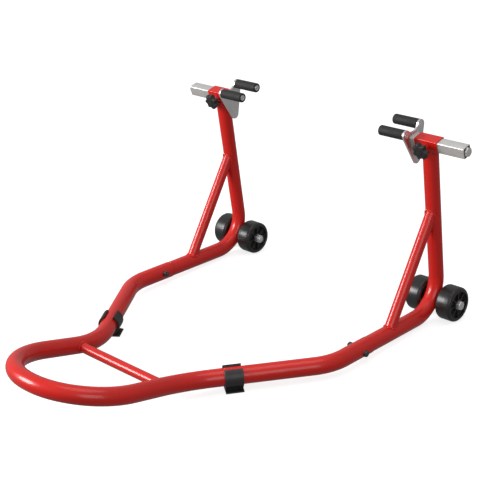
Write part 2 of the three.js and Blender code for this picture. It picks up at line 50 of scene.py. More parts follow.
# ---- dimensions ----
# The frame's main sizes repeat the CAD source. Sizes of small fittings belong to this script, and
# some differ a little from the CAD's.
HANDLE_CORNER = Vector((123.2, -383.1, 83.7))
INNER_CORNER = Vector((114.3, -150.9, 24))
FLARE_CORNER = Vector((264, 58.9, 22))
ELBOW_CORNER = Vector((259.8, 369.1, 14))
LEG_TOP = Vector((262.7, 338.2, 320.4))
HANDLE_BEND = 116
INNER_BEND = 144
FLARE_BEND = 97
ELBOW_BEND = 63.5
LOOP_RADIUS = 15.85
LOOP_WALL = 1.1
LEG_RADIUS = 15.15
LEG_WALL = 1.6
PLUG_SWAGE = 0.928
LEG_ACROSS = 0.985
LEG_FLAT_LOW = 0.825
LEG_FLAT_TOP = 0.935
CROSS_RADIUS = 9.1
CROSS_SINK = 0.72  # of the loop's radius
BRACE_RADIUS = 10.5
BRACE_SINK = 7
THIN_WALL = 1.5  # of the cross tube and the braces
SOCKET_MOUTH_Y = 157
JOINT_BOLT_Y = 131.5
JOINT_LEAN = math.radians(9)
CROSS_TUBE_Y = -196.9
BRACE_FOOT_Y = 215.6
BRACE_HEAD_Z = 222.3
HEAD_TILT = math.radians(14.6)
SLEEVE_SIDE = 23.6
SLEEVE_LENGTH = 49
SLEEVE_CORNER = 1.8
SLEEVE_CHAMFER = 0.4
BAR_SIDE = 20.6
BAR_WALL = 1.5
BAR_CORNER = 2.2
BAR_CHAMFER = 0.35
BAR_BOLT_FLATS = 15.6
BAR_WASHER_RADIUS = 7.9
PLATE_INNER_X = 229.2
PLATE_THICKNESS = 4
PEG_SPREAD = 21.4
PEG_RISE = 20.5
PLATE_DROP = 36.2
PLATE_SET = -4.5
PLATE_CORNER = 9.6
PLATE_VALLEY = 18.6
PLATE_BEVEL = 0.45
PEG_LENGTH = 55
PEG_RUBBER_RADIUS = 9.4
PEG_CORE_RADIUS = 5
PEG_ROUND_OVER = 2.2
PEG_SOCKET_FLATS = 5
KNOB_RADIUS = 16.3
KNOB_DEPTH = 14
KNOB_START = 20
KNOB_LOBES = 7
KNOB_LOBE_SWING = 2.4
KNOB_EDGE = 3.2
KNOB_FACETS = 112
BOSS_FLATS = 13
BOSS_BORE = 4.3
SCREW_RADIUS = 4
SCREW_DROP = 1.2
WHEEL_WIDTH = 33.4
WHEEL_INSET = 17.9
WHEEL_SHOULDER = 6
WHEEL_RIBS = 8
RIB_WIDTH = 2.8
HUB_RADIUS = 10.5
DISH_DEPTH = 6.0
AXLE_RADIUS = 5
AXLE_FLATS = 16
AXLE_HEAD = 6.1
AXLE_NUT = 7.6
BUSH_RADIUS = 10
BUSH_EASE = 0.7
WASHER_RADIUS = 9.0
WASHER_THICKNESS = 1.1
JOINT_FLATS = 10.8
JOINT_HEAD = 3.7
JOINT_NUT = 6.4
JOINT_WASHER_RADIUS = 6.2
JOINT_TAIL = 8.5
JOINT_TAIL_RADIUS = 2.9
CLIP_LENGTH = 32
CLIP_STATION = 0.325
CLIP_WALL = 4.4
CLIP_OPENING = 58
CLIP_FOOT_HALF = 19
CLIP_FOOT_EASE = 0.4
CLIP_FOOT_THICKNESS = 1.9
CLIP_NECK_HALF = 9.5
CLIP_NECK_DROP = 19.8
CLIP_NECK_ANGLE = 61  # below level, where the ring meets the neck
CLIP_BEVEL = 0.5
GAP = 0.3
ROUND = 48  # facets round a tube


def box_centre(node):
    low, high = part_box(node)
    return (low + high) / 2 / MM


head = box_centre("bar_sleeve_right")
axle = box_centre("axle_bush_right")
wheel_low, wheel_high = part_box("wheel_outer_right")
wheel_radius = (wheel_high.z - wheel_low.z) / 2 / MM
bar_outer_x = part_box("square_bar_right")[1].x / MM
bolt_outer_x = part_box("bar_bolt_right")[1].x / MM

# ---- camera ----
CAMERA_TARGET = Vector((0, 0.109, 0.1694))
CAMERA_DISTANCE = 2.2814
CAMERA_AZIMUTH = math.radians(45.83)
CAMERA_ELEVATION = math.radians(22.72)
CAMERA_ROLL = math.radians(-2.98)
CAMERA_LENS = 92.44


def add_camera():
    data = bpy.data.cameras.new("camera")
    data.lens = CAMERA_LENS
    data.sensor_width = 36
    camera = bpy.data.objects.new("camera", data)
    bpy.context.scene.collection.objects.link(camera)
    level = math.cos(CAMERA_ELEVATION)
    back = Vector((
        math.sin(CAMERA_AZIMUTH) * level,
        -math.cos(CAMERA_AZIMUTH) * level,
        math.sin(CAMERA_ELEVATION),
    ))
    right = Vector((math.cos(CAMERA_AZIMUTH), math.sin(CAMERA_AZIMUTH), 0))
    turn = Matrix.Rotation(CAMERA_ROLL, 3, back)
    right = turn @ right
    up = back.cross(right)
    axes = Matrix((right, up, back)).transposed()
    camera.matrix_world = Matrix.Translation(
        CAMERA_TARGET + back * CAMERA_DISTANCE
    ) @ axes.to_4x4()
    bpy.context.scene.camera = camera


add_camera()


# ---- materials ----
class Look:
    """A node material under construction: a principled shader and helpers that feed it."""

    def __init__(self, name, color, roughness, metallic=0.0):
        self.material = bpy.data.materials.new(name)
        self.material.use_nodes = True
        self.nodes = self.material.node_tree.nodes
        self.links = self.material.node_tree.links
        self.shader = self.nodes["Principled BSDF"]
        self.shader.inputs["Base Color"].default_value = (*color, 1)
        self.shader.inputs["Roughness"].default_value = roughness
        self.shader.inputs["Metallic"].default_value = metallic
        self.coordinates = self.nodes.new("ShaderNodeTexCoord").outputs["Object"]
        self.normal = None

    def stretched(self, scale):
        mapping = self.nodes.new("ShaderNodeMapping")
        mapping.inputs["Scale"].default_value = scale
        self.links.new(self.coordinates, mapping.inputs["Vector"])
        return mapping.outputs["Vector"]

    def noise(self, scale, detail=3.0, stretch=None):
        node = self.nodes.new("ShaderNodeTexNoise")
        node.inputs["Scale"].default_value = scale
        node.inputs["Detail"].default_value = detail
        vector = self.stretched(stretch) if stretch else self.coordinates
        self.links.new(vector, node.inputs["Vector"])
        return node.outputs["Fac"]

    def ramp(self, value, *stops):
        node = self.nodes.new("ShaderNodeValToRGB")
        elements = node.color_ramp.elements
        while len(elements) < len(stops):
            elements.new(0.5)
        for element, (position, color) in zip(elements, stops):
            element.position = position
            element.color = (*color, 1) if isinstance(color, tuple) else (color, color, color, 1)
        self.links.new(value, node.inputs["Fac"])
        return node.outputs["Color"]

    def mix(self, factor, first, second):
        node = self.nodes.new("ShaderNodeMix")
        node.data_type = "RGBA"
        self.links.new(factor, node.inputs[0])
        self.links.new(first, node.inputs[6])
        self.links.new(second, node.inputs[7])
        return node.outputs[2]

    def multiply(self, first, second):
        node = self.nodes.new("ShaderNodeMath")
        node.operation = "MULTIPLY"
        self.links.new(first, node.inputs[0])
        self.links.new(second, node.inputs[1])
        return node.outputs["Value"]

    def color(self, output):
        self.links.new(output, self.shader.inputs["Base Color"])

    def roughness(self, output):
        self.links.new(output, self.shader.inputs["Roughness"])

    def bump(self, height, strength, distance):
        node = self.nodes.new("ShaderNodeBump")
        node.inputs["Strength"].default_value = strength
        node.inputs["Distance"].default_value = distance
        self.links.new(height, node.inputs["Height"])
        if self.normal is not None:
            self.links.new(self.normal, node.inputs["Normal"])
        self.normal = node.outputs["Normal"]
        self.links.new(self.normal, self.shader.inputs["Normal"])


def scratches(look, stretch, scale):
    """Fine lines where a stretched noise crosses its middle, broken up by a coarser one."""
    lines = look.ramp(look.noise(scale, 2, stretch), (0.485, 0.0), (0.5, 1.0), (0.515, 0.0))
    patches = look.ramp(look.noise(9, 2), (0.5, 0.0), (0.68, 1.0))
    return look.multiply(lines, patches)


def red_powder_coat():
    look = Look("red_powder_coat", (0.62, 0.012, 0.008), 0.3)
    shade = look.noise(7, 3)
    body = look.ramp(shade, (0.3, (0.6, 0.012, 0.007)), (0.7, (0.68, 0.014, 0.009)))
    speck = look.ramp(look.noise(260, 2), (0.72, 0.0), (0.8, 1.0))
    dark = look.ramp(shade, (0.0, (0.46, 0.009, 0.006)), (1.0, (0.46, 0.009, 0.006)))
    look.color(look.mix(speck, body, dark))
    look.roughness(look.ramp(look.noise(34, 4), (0.3, 0.26), (0.75, 0.38)))
    look.bump(look.noise(620, 2), 0.05, 0.0006)
    look.bump(scratches(look, (1, 0.12, 1), 320), 0.05, 0.0002)
    look.shader.inputs["Specular IOR Level"].default_value = 0.3
    look.shader.inputs["Coat Weight"].default_value = 0.32
    look.shader.inputs["Coat Roughness"].default_value = 0.07
    return look.material


def zinc_steel():
    look = Look("zinc_steel", (0.72, 0.71, 0.69), 0.34, 0.6)
    cloud = look.noise(38, 5)
    look.color(look.ramp(cloud, (0.3, (0.66, 0.65, 0.63)), (0.7, (0.78, 0.77, 0.75))))
    brushed = look.noise(240, 3, (0.08, 1, 1))
    look.roughness(look.ramp(brushed, (0.3, 0.27), (0.7, 0.42)))
    look.bump(brushed, 0.06, 0.0003)
    look.bump(look.noise(900, 2), 0.05, 0.0003)
    return look.material


def rolled_plate():
    look = Look("zinc_plate", (0.8, 0.79, 0.78), 0.2, 0.95)
    cloud = look.noise(46, 5)
    look.color(look.ramp(cloud, (0.3, (0.74, 0.73, 0.72)), (0.7, (0.84, 0.83, 0.82))))
    rolled = look.noise(300, 3, (1, 1, 0.1))
    look.roughness(look.ramp(rolled, (0.3, 0.24), (0.7, 0.34)))
    look.bump(rolled, 0.05, 0.0002)
    look.bump(scratches(look, (1, 0.15, 1), 280), 0.06, 0.0002)
    return look.material


def moulded_plastic(name, color, low, high, grain):
    look = Look(name, color, 0.4)
    shade = look.noise(16, 4)
    lighter = tuple(1.5 * c for c in color)
    look.color(look.ramp(shade, (0.3, color), (0.75, lighter)))
    look.roughness(look.ramp(look.noise(60, 4), (0.3, low), (0.75, high)))
    look.bump(look.noise(grain, 2), 0.12, 0.0003)
    look.bump(scratches(look, (0.2, 1, 1), 260), 0.06, 0.0002)
    return look.material


def black_rubber():
    look = Look("black_rubber", (0.013, 0.013, 0.013), 0.62)
    cells = look.nodes.new("ShaderNodeTexVoronoi")
    cells.inputs["Scale"].default_value = 900
    look.links.new(look.coordinates, cells.inputs["Vector"])
    dusty = look.noise(70, 5)
    look.color(look.ramp(dusty, (0.35, (0.008, 0.008, 0.008)), (0.85, (0.018, 0.018, 0.018))))
    look.roughness(look.ramp(dusty, (0.3, 0.6), (0.8, 0.82)))
    look.bump(cells.outputs["Distance"], 0.35, 0.0005)
    return look.material


def black_steel():
    look = Look("black_steel", (0.035, 0.035, 0.036), 0.42, 0.7)
    worn = look.noise(420, 4)
    look.color(look.ramp(worn, (0.4, (0.05, 0.05, 0.051)), (0.8, (0.17, 0.17, 0.166))))
    look.roughness(look.ramp(worn, (0.3, 0.36), (0.75, 0.55)))
    look.bump(worn, 0.15, 0.0002)
    return look.material


RED = red_powder_coat()
ZINC = zinc_steel()
PLASTIC = moulded_plastic("black_plastic", (0.014, 0.014, 0.014), 0.38, 0.52, 1500)
WHEEL_PLASTIC = moulded_plastic("wheel_plastic", (0.011, 0.011, 0.011), 0.26, 0.42, 500)
PLATE = rolled_plate()
RUBBER = black_rubber()
STEEL = black_steel()
SLOT_LOOKS = {
    "red_powder_coat": RED,
    "zinc_steel": ZINC,
    "black_plastic": PLASTIC,
    "black_rubber": RUBBER,
    "black_steel": STEEL,
}


# ---- shapes: a shape is (points, faces) in millimetres ----
def merge(*shapes):
    points = []
    faces = []
    for some_points, some_faces in shapes:
        start = len(points)
        points.extend(some_points)
        faces.extend([[start + i for i in face] for face in some_faces])
    return points, faces


def moved(shape, move):
    points, faces = shape
    return [move(Vector(p)) for p in points], faces


def loft(rings, closed=False):
    """Quads between rings of equal count. A closed loft joins its last ring to its first."""
    count = len(rings[0])
    points = [p for ring in rings for p in ring]
    faces = []
    spans = len(rings) if closed else len(rings) - 1
    for r in range(spans):
        low = r * count
        high = ((r + 1) % len(rings)) * count
        for i in range(count):
            j = (i + 1) % count
            faces.append([low + i, low + j, high + j, high + i])
    if not closed:
        last = (len(rings) - 1) * count
        faces.append(list(range(count - 1, -1, -1)))
        faces.append([last + i for i in range(count)])
    return points, faces


def circle(radius, count=ROUND):
    return [
        (radius * math.cos(2 * math.pi * i / count), radius * math.sin(2 * math.pi * i / count))
        for i in range(count)
    ]


def ring_at_x(outline, x):
    return [Vector((x, y, z)) for y, z in outline]


def lathe(profile, closed=True, count=ROUND):
    """Turns (radius, x) points about the X axis."""
    return loft([ring_at_x(circle(radius, count), x) for radius, x in profile], closed)


def rounded_square(side, radius, steps=5):
    points = []
    inner = side / 2 - radius
    for corner, (sy, sz) in enumerate(((1, 1), (-1, 1), (-1, -1), (1, -1))):
        for s in range(steps + 1):
            angle = (corner + s / steps) * math.pi / 2
            points.append((
                sy * inner + radius * math.cos(angle),
                sz * inner + radius * math.sin(angle),
            ))
    return points


def square_tube(side, wall, radius, start, end, chamfer):
    outer = rounded_square(side, radius)
    eased = rounded_square(side - 2 * chamfer, max(radius - chamfer, 0.3))
    bore = rounded_square(side - 2 * wall, max(radius - wall, 0.5))
    return loft(
        [
            ring_at_x(bore, start),
            ring_at_x(eased, start),
            ring_at_x(outer, start + chamfer),
            ring_at_x(outer, end - chamfer),
            ring_at_x(eased, end),
            ring_at_x(bore, end),
        ],
        closed=True,
    )


def hex_radius(flats, angle):
    sector = math.pi / 3
    return flats / 2 / math.cos((angle + sector / 2) % sector - sector / 2)


def hexagon(flats, limit, count=ROUND):
    """A hexagon sampled by angle, its corners cut to a circle of the limit's radius."""
    points = []
    for i in range(count):
        angle = 2 * math.pi * i / count
        radius = min(hex_radius(flats, angle), limit)
        points.append((radius * math.cos(angle), radius * math.sin(angle)))
    return points


HEX_CHAMFER = 0.16  # of the head's height
HEX_FACE = 0.97  # of half the width across flats
HEX_BORE_EASE = 0.4
DOME_SHOULDER = 0.55  # of the face's radius
DOME_SHOULDER_RISE = 0.22
DOME_RISE = 0.3
DOME_TIP = 0.4


def hex_head(flats, start, height, sign=1, bore=0.0):
    """A hexagon head along X with its outer corners chamfered, and a shallow dome or a bore."""
    corner = flats / math.sqrt(3)
    chamfer = HEX_CHAMFER * height
    face = flats / 2 * HEX_FACE
    rings = [
        (hexagon(flats, corner), 0),
        (hexagon(flats, corner), height - 2 * chamfer),
        (hexagon(flats, (corner + flats / 2) / 2), height - 0.8 * chamfer),
        (circle(face), height),
    ]
    if bore:
        rings += [
            (circle(bore + HEX_BORE_EASE), height),
            (circle(bore), height - HEX_BORE_EASE),
            (circle(bore), 0),
        ]
    else:
        rings += [
            (circle(face * DOME_SHOULDER), height + DOME_SHOULDER_RISE),
            (circle(DOME_TIP), height + DOME_RISE),
        ]
    shape = loft([ring_at_x(o, start + sign * x) for o, x in rings], closed=bool(bore))
    return shape if sign > 0 else flipped(shape)


def flipped(shape):
    points, faces = shape
    return points, [list(reversed(face)) for face in faces]


def inset(outline, distance):
    """Moves a counter-clockwise outline inwards along its vertex normals."""
    result = []
    count = len(outline)
    for i, (y, z) in enumerate(outline):
        before = Vector(outline[i - 1])
        after = Vector(outline[(i + 1) % count])
        along = (after - before).normalized()
        result.append((y - along.y * distance, z + along.x * distance))
    return result


def bevelled_prism(outline, start, end, bevel):
    eased = inset(outline, bevel)
    return loft([
        ring_at_x(eased, start),
        ring_at_x(outline, start + bevel),
        ring_at_x(outline, end - bevel),
        ring_at_x(eased, end),
    ])


def swing_to(start, end):
    """The angle end, raised by whole turns until it follows start counter-clockwise."""
    return start + (end - start) % (2 * math.pi)


def arc_points(centre, radius, start, end, steps):
    points = []
    for s in range(steps + 1):
        angle = start + (end - start) * s / steps
        points.append((
            centre[0] + radius * math.cos(angle),
            centre[1] + radius * math.sin(angle),
        ))
    return points


# ---- centrelines ----
BEND_STEP = math.radians(3)
TUBE_RIM = 0.35


def bent_path(corners, bends):
    """Stations along straight runs and rounded corners, each as (point, tangent)."""
    stations = [(corners[0], (corners[1] - corners[0]).normalized())]
    for i, radius in enumerate(bends):
        before, corner, after = corners[i], corners[i + 1], corners[i + 2]
        entry = (corner - before).normalized()
        leave = (after - corner).normalized()
        turn = entry.angle(leave)
        axis = entry.cross(leave).normalized()
        start = corner - entry * radius * math.tan(turn / 2)
        centre = start + axis.cross(entry) * radius
        steps = math.ceil(turn / BEND_STEP)
        for s in range(steps + 1):
            spin = Matrix.Rotation(turn * s / steps, 3, axis)
            stations.append((centre + spin @ (start - centre), spin @ entry))
    stations.append((corners[-1], (corners[-1] - corners[-2]).normalized()))
    return stations


def transported_frames(stations, first_normal):
    """A pair of cross-section axes at each station that doesn't twist along the path."""
    frames = []
    normal = first_normal
    for _, tangent in stations:
        normal = (normal - tangent * normal.dot(tangent)).normalized()
        frames.append((normal, tangent.cross(normal)))
    return frames


def swept_tube(stations, frames, radius, wall, scale_at=lambda i: (1, 1)):
    """A tube with an open bore and eased rims along the stations."""

    def ring(i, r, shift=0.0):
        point, tangent = stations[i]
        across, other = frames[i]
        sx, sy = scale_at(i)
        centre = point + tangent * shift
        return [centre + across * (x * sx) + other * (y * sy) for x, y in circle(r)]

    last = len(stations) - 1
    rim = TUBE_RIM
    rings = [ring(0, radius - wall), ring(0, radius - rim), ring(0, radius, rim)]
    rings += [ring(i, radius) for i in range(1, last)]
    rings += [ring(last, radius, -rim), ring(last, radius - rim), ring(last, radius - wall)]
    rings += [ring(i, radius - wall) for i in range(last - 1, 0, -1)]
    return loft(rings, closed=True)


def along_line(start, end, fraction):
    return start.lerp(end, fraction)


def on_lower_run(y):
    span = ELBOW_CORNER.y - FLARE_CORNER.y
    return along_line(FLARE_CORNER, ELBOW_CORNER, (y - FLARE_CORNER.y) / span)


def on_leg(z):
    span = LEG_TOP.z - ELBOW_CORNER.z
    return along_line(ELBOW_CORNER, LEG_TOP, (z - ELBOW_CORNER.z) / span)


def mirrored(point):
    return Vector((-point.x, point.y, point.z))


def at_head(point):
    """From the bar's own axes to the stand's, for a point whose x is already the stand's."""
    y = point.y * math.cos(HEAD_TILT) - point.z * math.sin(HEAD_TILT)
    z = point.y * math.sin(HEAD_TILT) + point.z * math.cos(HEAD_TILT)
    return Vector((point.x, head.y + y, head.z + z))


def at_axle(point):
    return Vector((axle.x + point.x, axle.y + point.y, axle.z + point.z))


# ---- pieces ----
SHARP = math.radians(32)


def make_piece(name, shape, material, body, nodes=(), mirror=False):
    points, faces = shape
    sign = -1 if mirror else 1
    mesh = bpy.data.meshes.new(name)
    corners = [(sign * p.x * MM, p.y * MM, p.z * MM) for p in points]
    rings = [list(reversed(face)) for face in faces] if mirror else faces
    mesh.from_pydata(corners, [], rings)
    mesh.materials.append(material)
    mesh.validate()
    mesh.shade_smooth()
    mesh.set_sharp_from_angle(angle=SHARP)
    piece = bpy.data.objects.new(name, mesh)
    bpy.context.scene.collection.objects.link(piece)
    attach(piece, body)
    if nodes:
        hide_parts(*nodes)


def both_sides(name, shape, material, body, slot, *nodes):
    """The same shape on +X and mirrored on -X. A body name ending in _ gets the side's name."""
    for side in ("right", "left"):
        make_piece(
            f"{name}_{side}",
            shape,
            material,
            body + side if body.endswith("_") else body,
            [f"{node}_{side}" for node in nodes],
            mirror=side == "left",
        )


# ---- weld beads ----
WELD_LIFT = 0.5  # the bead's path lies this far outside the joining tube
WELD_STANDOFF = 0.4  # and this far outside what it meets
BEAD_RIPPLE = 0.13
BEAD_FACETS = 10
CROSS_BEAD = 1.7
BRACE_BEAD = 1.8
SLEEVE_BEAD = 1.5
BAR_BEAD = 0.9
COPE_SEARCH = 70.0
COPE_HALVINGS = 26
CROSS_COPE_START = 45


def weld_bead(path, radius):
    """A rippled bead along a closed path of points."""
    count = len(path)
    frames = []
    for i, point in enumerate(path):
        tangent = (path[(i + 1) % count] - path[i - 1]).normalized()
        side = tangent.orthogonal().normalized() if not frames else frames[-1][0]
        side = (side - tangent * side.dot(tangent)).normalized()
        frames.append((side, tangent.cross(side)))
    rings = []
    ripple = max(6, count // 4)
    for i, point in enumerate(path):
        swell = radius * (1 + BEAD_RIPPLE * math.sin(2 * math.pi * ripple * i / count))
        side, other = frames[i]
        rings.append([point + side * x + other * y for x, y in circle(swell, BEAD_FACETS)])
    return loft(rings, closed=True)


def coped_path(start, direction, radius, inside, count=112):
    """Where the skin of a round tube, run along direction from start, meets another solid."""
    across = direction.orthogonal().normalized()
    other = direction.cross(across)
    path = []
    for i in range(count):
        angle = 2 * math.pi * i / count
        origin = start + (across * math.cos(angle) + other * math.sin(angle)) * radius
        near, far = 0.0, COPE_SEARCH
        for _ in range(COPE_HALVINGS):
            middle = (near + far) / 2
            if inside(origin + direction * middle):
                far = middle
            else:
                near = middle
        path.append(origin + direction * far)
    return path


def inside_rod(a, b, radius, flat=1.0):
    """Whether a point is in a rod through a and b, flattened in the YZ plane by flat."""
    along = (b - a).normalized()
    across = (Vector((1, 0, 0)) - along * along.x).normalized()
    other = along.cross(across)

    def test(point):
        offset = point - a
        x = offset.dot(across) / radius
        y = offset.dot(other) / (radius * flat)
        return x * x + y * y < 1

    return test


# ---- handle frame ----
loop_corners = [on_lower_run(SOCKET_MOUTH_Y), FLARE_CORNER, INNER_CORNER, HANDLE_CORNER]
loop_corners += [mirrored(corner) for corner in reversed(loop_corners)]
loop_bends = [FLARE_BEND, INNER_BEND, HANDLE_BEND, HANDLE_BEND, INNER_BEND, FLARE_BEND]
loop_stations = bent_path(loop_corners, loop_bends)
loop_frames = transported_frames(loop_stations, Vector((1, 0, 0)))
make_piece(
    "handle_loop",
    swept_tube(loop_stations, loop_frames, LOOP_RADIUS, LOOP_WALL),
    RED,
    "frame",
    ["main_loop_tube"],
)

cross_fraction = (CROSS_TUBE_Y - HANDLE_CORNER.y) / (INNER_CORNER.y - HANDLE_CORNER.y)
cross_end = along_line(HANDLE_CORNER, INNER_CORNER, cross_fraction)
cross_reach = cross_end.x - LOOP_RADIUS * CROSS_SINK
cross_stations = [
    (Vector((x, cross_end.y, cross_end.z)), Vector((1, 0, 0)))
    for x in (-cross_reach, 0, cross_reach)
]
make_piece(
    "cross_tube_skin",
    swept_tube(
        cross_stations,
        transported_frames(cross_stations, Vector((0, 0, 1))),
        CROSS_RADIUS,
        THIN_WALL,
    ),
    RED,
    "frame",
    ["cross_tube"],
)
cross_weld = coped_path(
    Vector((cross_end.x - CROSS_COPE_START, cross_end.y, cross_end.z)),
    Vector((1, 0, 0)),
    CROSS_RADIUS + WELD_LIFT,
    inside_rod(HANDLE_CORNER, INNER_CORNER, LOOP_RADIUS + WELD_STANDOFF),
)
cross_bead = weld_bead(cross_weld, CROSS_BEAD)
both_sides("cross_tube_weld", cross_bead, RED, "frame", "red_powder_coat")

# ---- leg: plugs into the loop, turns up at the elbow and ends under the sleeve ----
PLUG_LENGTH = 8
SWAGE_STEPS = (0, 0.8, 1.6)
SWAGED_STATIONS = 2
FIRST_BEND_STATION = 4
leg_corners = [on_lower_run(SOCKET_MOUTH_Y - PLUG_LENGTH), ELBOW_CORNER, on_leg(head.z)]
leg_stations = bent_path(leg_corners, [ELBOW_BEND])
swage_end = SOCKET_MOUTH_Y + GAP
run_direction = (ELBOW_CORNER - FLARE_CORNER).normalized()
leg_stations[1:1] = [
    (on_lower_run(swage_end + extra), run_direction) for extra in SWAGE_STEPS
]
leg_frames = []
for _, tangent in leg_stations:
    across = (Vector((1, 0, 0)) - tangent * tangent.x).normalized()
    leg_frames.append((across, tangent.cross(across)))


def leg_scale(i):
    """Swaged in the socket, round on the lower run, flat through the elbow, rounder on top."""
    last = len(leg_stations) - 1
    if i < SWAGED_STATIONS:
        return PLUG_SWAGE, PLUG_SWAGE
    if i == last:
        return LEG_ACROSS, LEG_FLAT_TOP
    bend = max(0, i - FIRST_BEND_STATION) / (last - 1 - FIRST_BEND_STATION)
    return 1 + (LEG_ACROSS - 1) * bend, 1 + (LEG_FLAT_LOW - 1) * bend


LEG_TOP_CLEARANCE = 0.05


def cut_under_sleeve(shape):
    """Draws the leg's top back along the leg to the sleeve's underside."""
    leg_direction = (LEG_TOP - ELBOW_CORNER).normalized()
    down = Vector((0, math.sin(HEAD_TILT), -math.cos(HEAD_TILT)))
    floor = head + down * (SLEEVE_SIDE / 2 + LEG_TOP_CLEARANCE)

    def draw(point):
        above = (floor - point).dot(down)
        if above <= 0:
            return point
        return point - leg_direction * (above / -leg_direction.dot(down))

    return moved(shape, draw)


both_sides(
    "leg",
    cut_under_sleeve(swept_tube(leg_stations, leg_frames, LEG_RADIUS, LEG_WALL, leg_scale)),
    RED,
    "frame",
    "red_powder_coat",
    "leg_tube",
)

# ---- brace ----
brace_foot = on_lower_run(BRACE_FOOT_Y)
brace_top = on_leg(BRACE_HEAD_Z)
brace_direction = (brace_top - brace_foot).normalized()
brace_stations = [
    (point, brace_direction)
    for point in (
        brace_foot + brace_direction * BRACE_SINK,
        (brace_foot + brace_top) / 2,
        brace_top - brace_direction * BRACE_SINK,
    )
]
both_sides(
    "brace",
    swept_tube(
        brace_stations,
        transported_frames(brace_stations, Vector((1, 0, 0))),
        BRACE_RADIUS,
        THIN_WALL,
    ),
    RED,
    "frame",
    "red_powder_coat",
    "brace_tube",
)
BRACE_SHARE = 0.6  # how far the leg's section has changed from low to top at the brace
leg_flat_at_brace = LEG_FLAT_LOW + (LEG_FLAT_TOP - LEG_FLAT_LOW) * BRACE_SHARE
brace_top_weld = coped_path(
    brace_top - brace_direction * COPE_SEARCH,
    brace_direction,
    BRACE_RADIUS + WELD_LIFT,
    inside_rod(ELBOW_CORNER, LEG_TOP, LEG_RADIUS + WELD_STANDOFF, leg_flat_at_brace),
)
brace_foot_weld = coped_path(
    brace_foot + brace_direction * COPE_SEARCH,
    -brace_direction,
    BRACE_RADIUS + WELD_LIFT,
    inside_rod(FLARE_CORNER, ELBOW_CORNER, LEG_RADIUS + WELD_STANDOFF),
)
for place, path in (("top", brace_top_weld), ("foot", brace_foot_weld)):
    brace_bead = weld_bead(path, BRACE_BEAD)
    both_sides(f"brace_{place}_weld", brace_bead, RED, "frame", "red_powder_coat")

# ---- sleeve and the weld under it ----
sleeve_start = head.x - SLEEVE_LENGTH / 2
sleeve_end = head.x + SLEEVE_LENGTH / 2
sleeve_wall = (SLEEVE_SIDE - BAR_SIDE) / 2 - GAP
sleeve = square_tube(
    SLEEVE_SIDE, sleeve_wall, SLEEVE_CORNER, sleeve_start, sleeve_end, SLEEVE_CHAMFER
)
both_sides("sleeve", moved(sleeve, at_head), RED, "frame", "red_powder_coat", "bar_sleeve")


def sleeve_weld_path():
    """The leg's section where it meets the sleeve's underside."""
    leg_direction = (LEG_TOP - ELBOW_CORNER).normalized()
    across = (Vector((1, 0, 0)) - leg_direction * leg_direction.x).normalized()
    other = leg_direction.cross(across)
    down = Vector((0, math.sin(HEAD_TILT), -math.cos(HEAD_TILT)))
    floor = head + down * (SLEEVE_SIDE / 2 + WELD_STANDOFF)
    path = []
    for x, y in circle(LEG_RADIUS, 96):
        point = on_leg(head.z) + across * (x * LEG_ACROSS) + other * (y * LEG_FLAT_TOP)
        above = (floor - point).dot(down)
        path.append(point + leg_direction * (above / leg_direction.dot(down)))
    return path


sleeve_bead = weld_bead(sleeve_weld_path(), SLEEVE_BEAD)
both_sides("sleeve_weld", sleeve_bead, RED, "frame", "red_powder_coat")


# ---- clamp nut, screw and star knob: along the knob's axis x runs outwards ----
def at_clamp(point):
    """From the clamp screw's own axis, x outwards, to the stand's axes."""
    return at_head(Vector((head.x + point.y, -point.x, point.z - SCREW_DROP)))


nut_start = SLEEVE_SIDE / 2
nut_height = KNOB_START - GAP - nut_start
both_sides(
    "clamp_boss",
    moved(hex_head(BOSS_FLATS, nut_start, nut_height, bore=BOSS_BORE), at_clamp),
    RED,
    "frame",
    "red_powder_coat",
    "clamp_nut",
)
screw_end = KNOB_START + 9
screw = lathe(
    [
        (0.2, nut_start - 1.5),
        (SCREW_RADIUS, nut_start - 1.2),
        (SCREW_RADIUS, screw_end),
        (0.2, screw_end),
    ],
    closed=False,
    count=24,
)
both_sides("screw", moved(screw, at_clamp), ZINC, "clamp_screw_", "zinc_steel", "clamp_screw")


def star(scale, lobe):
    points = []
    for i in range(KNOB_FACETS):
        angle = 2 * math.pi * i / KNOB_FACETS
        wave = math.cos(KNOB_LOBES * angle)
        radius = (KNOB_RADIUS - lobe + lobe * wave) * scale
        points.append((radius * math.cos(angle), radius * math.sin(angle)))
    return points


def knob_shape():
    """From a hollow back over a lobed grip with a rounded edge to a recessed ring and a cap."""
    lobe = KNOB_LOBE_SWING
    edge = KNOB_EDGE
    back = KNOB_START
    front = KNOB_START + KNOB_DEPTH
    hollow = [(4.6, back + 1), (6.4, back), (8.2, back + 1.6)]
    cap = [(8.6, front - 0.7), (6.8, front - 0.5), (6.5, front - 1.3), (6.0, front - 1.3)]
    cap += [(5.7, front - 0.2), (3.6, front), (0.3, front)]
    grip = [(star(0.9, lobe), back + 2.2), (star(0.98, lobe), back + 3.2)]
    grip += [(star(1.0, lobe), back + 4 + step * 1.6) for step in range(4)]
    for step in range(1, 6):
        angle = step * math.pi / 10
        scale = 1 - edge / KNOB_RADIUS * (1 - math.cos(angle))
        x = front - 1.2 - edge + edge * math.sin(angle)
        grip.append((star(scale, lobe * (1 - 0.08 * step)), x))
    rings = [ring_at_x(circle(radius, KNOB_FACETS), x) for radius, x in hollow]
    rings += [ring_at_x(outline, x) for outline, x in grip]
    rings += [ring_at_x(circle(radius, KNOB_FACETS), x) for radius, x in cap]
    return loft(rings)


knob = moved(knob_shape(), at_clamp)
both_sides("knob", knob, PLASTIC, "clamp_knob_", "black_plastic", "clamp_knob")

